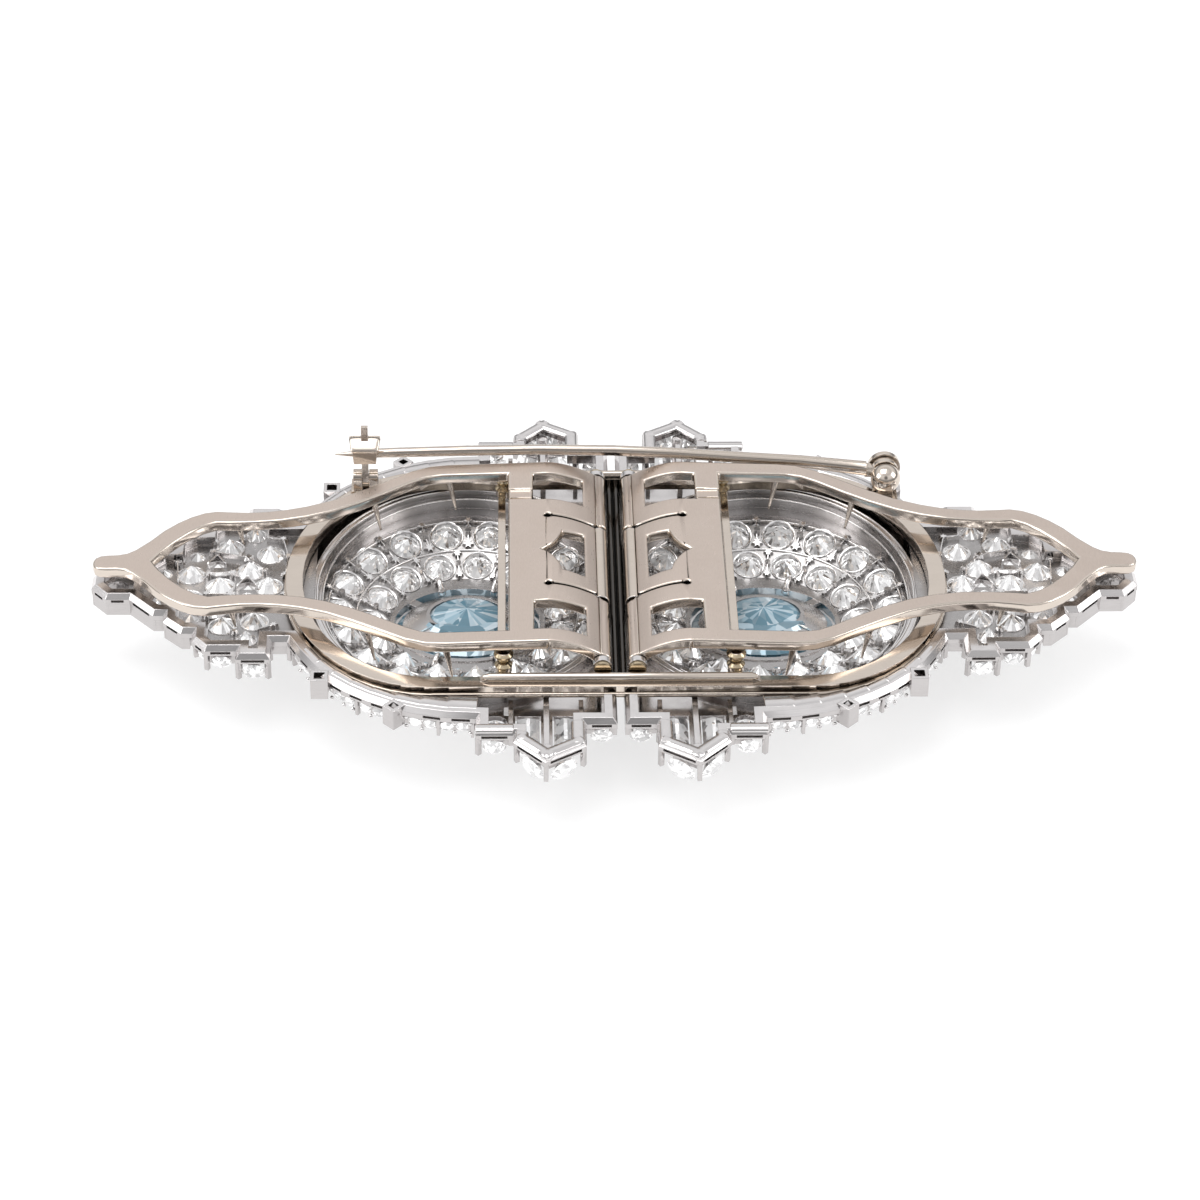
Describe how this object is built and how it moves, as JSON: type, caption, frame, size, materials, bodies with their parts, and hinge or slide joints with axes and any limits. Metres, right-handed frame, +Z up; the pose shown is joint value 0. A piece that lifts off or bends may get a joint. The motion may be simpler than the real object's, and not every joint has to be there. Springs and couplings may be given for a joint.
{
  "type": "pair of dress clips on a brooch frame",
  "caption": "Pair of jewelled platinum dress clips joined on a white-gold oval brooch frame, lying face down with the hinged clip levers, pin and safety catch uppermost.",
  "frame": {"origin": "middle of the brooch between the two clips, on the surface that it lies on", "axes": "+X along the brooch towards the right clip's point, +Y across it towards the pin, +Z up from the surface to the brooch's back"},
  "size_m": [0.0806, 0.0448, 0.0132],
  "materials": {
    "platinum": "polished platinum, cool white",
    "white_gold": "warm white gold, satin with polished edges",
    "diamond": "clear cut stone, polished",
    "aquamarine": "pale blue cut stone, polished"
  },
  "bodies": {
    "brooch": {"mount_left": "platinum", "mount_right": "platinum", "aquamarine_left": "aquamarine", "aquamarine_right": "aquamarine", "bowl_stones_left": "diamond", "bowl_stones_right": "diamond", "tip_stones_left": "diamond", "tip_stones_right": "diamond", "rim_stones_left": "diamond", "rim_stones_right": "diamond", "hinge_pin_left": "white_gold", "hinge_pin_right": "white_gold", "frame_ring": "white_gold", "stem_rivet": "white_gold", "hood_rivet": "white_gold"},
    "clip_left": {"lever_left": "white_gold"},
    "clip_right": {"lever_right": "white_gold"},
    "pin": {"stem_pin": "white_gold"},
    "catch": {"hood": "white_gold"}
  },
  "joints": [
    {"name": "clip_right_lift", "type": "hinge", "parent": "brooch", "child": "clip_right", "pos_m": [0.0013, 0, 0.00785], "axis": [0, -1, 0], "range_deg": [0, 60]},
    {"name": "clip_left_lift", "type": "hinge", "parent": "brooch", "child": "clip_left", "pos_m": [-0.0013, 0, 0.00785], "axis": [0, 1, 0], "range_deg": [0, 60]},
    {"name": "pin_swing", "type": "hinge", "parent": "brooch", "child": "pin", "pos_m": [0.02165, 0.0121, 0.00875], "axis": [0, 1, 0], "range_deg": [0, 60]},
    {"name": "catch_turn", "type": "hinge", "parent": "brooch", "child": "catch", "pos_m": [-0.0196, 0.0119, 0.0084], "axis": [1, 0, 0], "range_deg": [-16, 50]}
  ]
}
